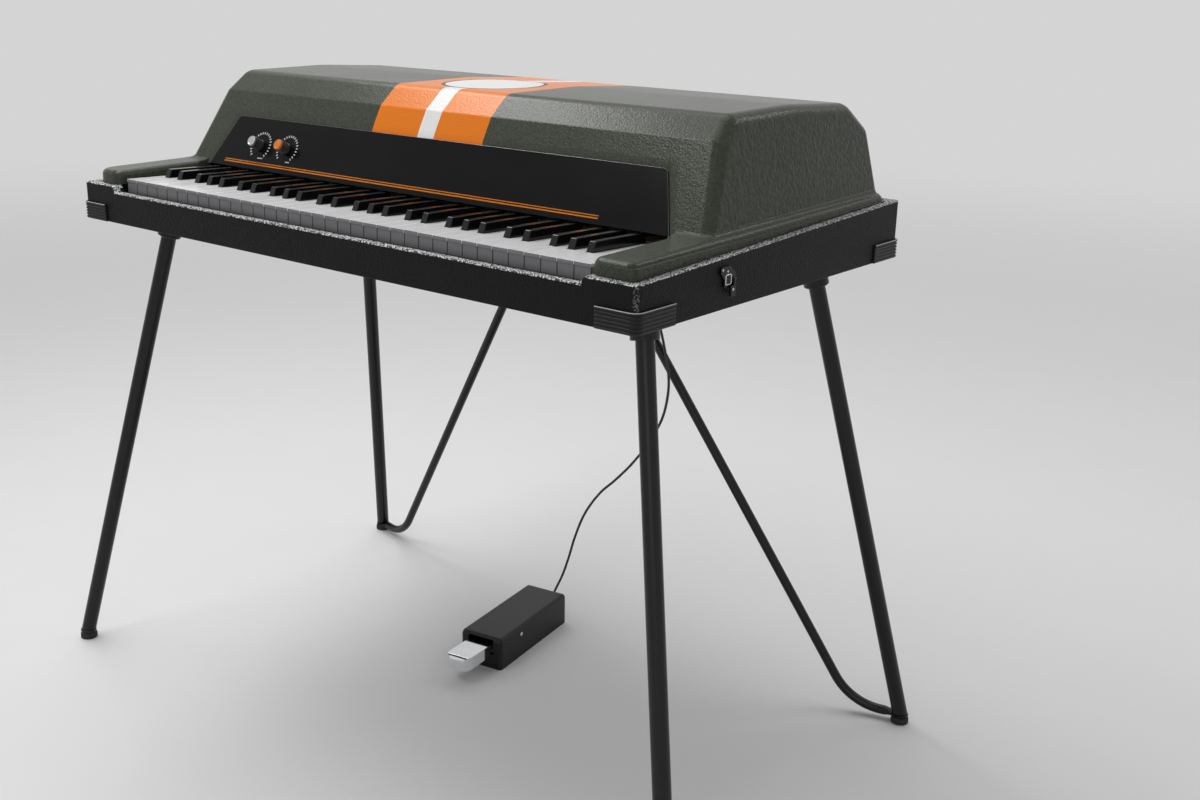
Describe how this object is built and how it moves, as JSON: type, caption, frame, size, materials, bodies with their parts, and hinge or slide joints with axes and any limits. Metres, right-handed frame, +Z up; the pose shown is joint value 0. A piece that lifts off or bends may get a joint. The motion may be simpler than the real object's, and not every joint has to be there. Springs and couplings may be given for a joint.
{
  "type": "electric piano",
  "caption": "Portable electric piano: black wedge case, glossy green hooded cover with racing stripes, splayed tube legs, rear braces and a corded sustain pedal.",
  "frame": {"origin": "on the floor, under the middle of the box round the object without its pedal cord", "axes": "+X to the treble end, +Y to the rear, +Z up"},
  "size_m": [1.19, 0.652, 0.9048],
  "materials": {
    "case_covering": "black grained cloth glued over plywood",
    "key_frame_wood": "bare softwood",
    "cover_green": "glossy dark green moulding",
    "panel_black": "satin black sheet",
    "bright_steel": "bright plated",
    "harp_wood": "bare hardwood",
    "tone_steel": "plated bars",
    "pickup_plastic": "moulded",
    "hammer_plastic": "moulded",
    "damper_steel": "spring strip with felts",
    "knob_grey": "black skirt with a grey cap",
    "knob_orange": "black skirt with an orange cap",
    "key_white": "glossy white top on wood",
    "key_black": "glossy black",
    "guard_plastic": "ribbed moulding",
    "leg_steel": "semi gloss black",
    "brace_steel": "semi gloss black",
    "foot_rubber": "moulded",
    "pedal_plastic": "textured black",
    "treadle_chrome": "polished",
    "plug_plastic": "moulded",
    "cord_rubber": "smooth black jacket"
  },
  "bodies": {
    "piano": {"lower_case": "case_covering", "key_frame": "key_frame_wood", "top_cover": "cover_green", "fascia_panel": "panel_black", "control_pots": "bright_steel", "harp_frame": "harp_wood", "tone_bar_set": "tone_steel", "pickup_rail": "pickup_plastic", "hammer_rail": "hammer_plastic", "damper_rail": "damper_steel", "latch_plate_left": "bright_steel", "rear_brace_left": "brace_steel", "corner_guard_front_left": "guard_plastic", "leg_socket_front_left": "leg_steel", "leg_front_left": "leg_steel", "foot_front_left": "foot_rubber", "corner_guard_rear_left": "guard_plastic", "leg_socket_rear_left": "leg_steel", "leg_rear_left": "leg_steel", "foot_rear_left": "foot_rubber", "latch_plate_right": "bright_steel", "rear_brace_right": "brace_steel", "corner_guard_front_right": "guard_plastic", "leg_socket_front_right": "leg_steel", "leg_front_right": "leg_steel", "foot_front_right": "foot_rubber", "corner_guard_rear_right": "guard_plastic", "leg_socket_rear_right": "leg_steel", "leg_rear_right": "leg_steel", "foot_rear_right": "foot_rubber", "brace_bracket": "leg_steel", "pedal_housing": "pedal_plastic", "pedal_jack": "bright_steel", "pedal_plug": "plug_plastic", "pedal_cord": "cord_rubber"},
    "white_keys_1": {"white_keys_1": "key_white"},
    "black_keys_1": {"black_keys_1": "key_black"},
    "white_keys_2": {"white_keys_2": "key_white"},
    "black_keys_2": {"black_keys_2": "key_black"},
    "key_c": {"key_c": "key_white"},
    "key_d": {"key_d": "key_white"},
    "key_e": {"key_e": "key_white"},
    "key_f": {"key_f": "key_white"},
    "key_g": {"key_g": "key_white"},
    "key_a": {"key_a": "key_white"},
    "key_b": {"key_b": "key_white"},
    "key_c_sharp": {"key_c_sharp": "key_black"},
    "key_d_sharp": {"key_d_sharp": "key_black"},
    "key_f_sharp": {"key_f_sharp": "key_black"},
    "key_g_sharp": {"key_g_sharp": "key_black"},
    "key_a_sharp": {"key_a_sharp": "key_black"},
    "white_keys_4": {"white_keys_4": "key_white"},
    "black_keys_4": {"black_keys_4": "key_black"},
    "white_keys_5": {"white_keys_5": "key_white"},
    "black_keys_5": {"black_keys_5": "key_black"},
    "volume_knob": {"volume_knob": "knob_grey"},
    "tone_knob": {"tone_knob": "knob_orange"},
    "latch_lever_left": {"latch_lever_left": "bright_steel"},
    "latch_lever_right": {"latch_lever_right": "bright_steel"},
    "pedal_treadle": {"pedal_treadle": "treadle_chrome"}
  },
  "joints": [
    {"name": "white_keys_1_press", "type": "hinge", "parent": "piano", "child": "white_keys_1", "pos_m": [-0.34075, -0.06247, 0.7355], "axis": [1, 0, 0], "range_deg": [0, 2.66], "stiffness_Nm_per_rad": 7, "springref_deg": -5.73},
    {"name": "black_keys_1_press", "type": "hinge", "parent": "piano", "child": "black_keys_1", "pos_m": [-0.34075, -0.06247, 0.7355], "axis": [1, 0, 0], "range_deg": [0, 2.66], "stiffness_Nm_per_rad": 5, "springref_deg": -5.73},
    {"name": "white_keys_2_press", "type": "hinge", "parent": "piano", "child": "white_keys_2", "pos_m": [-0.17625, -0.06247, 0.7355], "axis": [1, 0, 0], "range_deg": [0, 2.66], "stiffness_Nm_per_rad": 7, "springref_deg": -5.73},
    {"name": "black_keys_2_press", "type": "hinge", "parent": "piano", "child": "black_keys_2", "pos_m": [-0.17625, -0.06247, 0.7355], "axis": [1, 0, 0], "range_deg": [0, 2.66], "stiffness_Nm_per_rad": 5, "springref_deg": -5.73},
    {"name": "key_c_press", "type": "hinge", "parent": "piano", "child": "key_c", "pos_m": [-0.0867, -0.06247, 0.7355], "axis": [1, 0, 0], "range_deg": [0, 2.66], "stiffness_Nm_per_rad": 1, "springref_deg": -5.73},
    {"name": "key_d_press", "type": "hinge", "parent": "piano", "child": "key_d", "pos_m": [-0.05876, -0.06247, 0.7355], "axis": [1, 0, 0], "range_deg": [0, 2.66], "stiffness_Nm_per_rad": 1, "springref_deg": -5.73},
    {"name": "key_e_press", "type": "hinge", "parent": "piano", "child": "key_e", "pos_m": [-0.0308, -0.06247, 0.7355], "axis": [1, 0, 0], "range_deg": [0, 2.66], "stiffness_Nm_per_rad": 1, "springref_deg": -5.73},
    {"name": "key_f_press", "type": "hinge", "parent": "piano", "child": "key_f", "pos_m": [-0.0167, -0.06247, 0.7355], "axis": [1, 0, 0], "range_deg": [0, 2.66], "stiffness_Nm_per_rad": 1, "springref_deg": -5.73},
    {"name": "key_g_press", "type": "hinge", "parent": "piano", "child": "key_g", "pos_m": [0.00995, -0.06247, 0.7355], "axis": [1, 0, 0], "range_deg": [0, 2.66], "stiffness_Nm_per_rad": 1, "springref_deg": -5.73},
    {"name": "key_a_press", "type": "hinge", "parent": "piano", "child": "key_a", "pos_m": [0.03705, -0.06247, 0.7355], "axis": [1, 0, 0], "range_deg": [0, 2.66], "stiffness_Nm_per_rad": 1, "springref_deg": -5.73},
    {"name": "key_b_press", "type": "hinge", "parent": "piano", "child": "key_b", "pos_m": [0.0637, -0.06247, 0.7355], "axis": [1, 0, 0], "range_deg": [0, 2.66], "stiffness_Nm_per_rad": 1, "springref_deg": -5.73},
    {"name": "key_c_sharp_press", "type": "hinge", "parent": "piano", "child": "key_c_sharp", "pos_m": [-0.07299, -0.06247, 0.7355], "axis": [1, 0, 0], "range_deg": [0, 2.66], "stiffness_Nm_per_rad": 1, "springref_deg": -5.73},
    {"name": "key_d_sharp_press", "type": "hinge", "parent": "piano", "child": "key_d_sharp", "pos_m": [-0.0445, -0.06247, 0.7355], "axis": [1, 0, 0], "range_deg": [0, 2.66], "stiffness_Nm_per_rad": 1, "springref_deg": -5.73},
    {"name": "key_f_sharp_press", "type": "hinge", "parent": "piano", "child": "key_f_sharp", "pos_m": [-0.00349, -0.06247, 0.7355], "axis": [1, 0, 0], "range_deg": [0, 2.66], "stiffness_Nm_per_rad": 1, "springref_deg": -5.73},
    {"name": "key_g_sharp_press", "type": "hinge", "parent": "piano", "child": "key_g_sharp", "pos_m": [0.0235, -0.06247, 0.7355], "axis": [1, 0, 0], "range_deg": [0, 2.66], "stiffness_Nm_per_rad": 1, "springref_deg": -5.73},
    {"name": "key_a_sharp_press", "type": "hinge", "parent": "piano", "child": "key_a_sharp", "pos_m": [0.0505, -0.06247, 0.7355], "axis": [1, 0, 0], "range_deg": [0, 2.66], "stiffness_Nm_per_rad": 1, "springref_deg": -5.73},
    {"name": "white_keys_4_press", "type": "hinge", "parent": "piano", "child": "white_keys_4", "pos_m": [0.15275, -0.06247, 0.7355], "axis": [1, 0, 0], "range_deg": [0, 2.66], "stiffness_Nm_per_rad": 7, "springref_deg": -5.73},
    {"name": "black_keys_4_press", "type": "hinge", "parent": "piano", "child": "black_keys_4", "pos_m": [0.15275, -0.06247, 0.7355], "axis": [1, 0, 0], "range_deg": [0, 2.66], "stiffness_Nm_per_rad": 5, "springref_deg": -5.73},
    {"name": "white_keys_5_press", "type": "hinge", "parent": "piano", "child": "white_keys_5", "pos_m": [0.329, -0.06247, 0.7355], "axis": [1, 0, 0], "range_deg": [0, 2.66], "stiffness_Nm_per_rad": 8, "springref_deg": -5.73},
    {"name": "black_keys_5_press", "type": "hinge", "parent": "piano", "child": "black_keys_5", "pos_m": [0.31725, -0.06247, 0.7355], "axis": [1, 0, 0], "range_deg": [0, 2.66], "stiffness_Nm_per_rad": 5, "springref_deg": -5.73},
    {"name": "volume_knob_turn", "type": "hinge", "parent": "piano", "child": "volume_knob", "pos_m": [-0.3219, -0.1175, 0.8026], "axis": [0, -0.881, 0.4731], "range_deg": [-150, 150]},
    {"name": "tone_knob_turn", "type": "hinge", "parent": "piano", "child": "tone_knob", "pos_m": [-0.263, -0.1175, 0.8026], "axis": [0, -0.881, 0.4731], "range_deg": [-150, 150]},
    {"name": "latch_lever_left_swing", "type": "hinge", "parent": "piano", "child": "latch_lever_left", "pos_m": [-0.5031, -0.126, 0.733], "axis": [0, 1, 0], "range_deg": [0, 90]},
    {"name": "latch_lever_right_swing", "type": "hinge", "parent": "piano", "child": "latch_lever_right", "pos_m": [0.5031, -0.126, 0.733], "axis": [0, -1, 0], "range_deg": [0, 90]},
    {"name": "pedal_treadle_press", "type": "hinge", "parent": "piano", "child": "pedal_treadle", "pos_m": [-0.04066, 0.09222, 0.0385], "axis": [0.9869, 0.1611, 0], "range_deg": [0, 7], "stiffness_Nm_per_rad": 4, "springref_deg": -14.32}
  ]
}
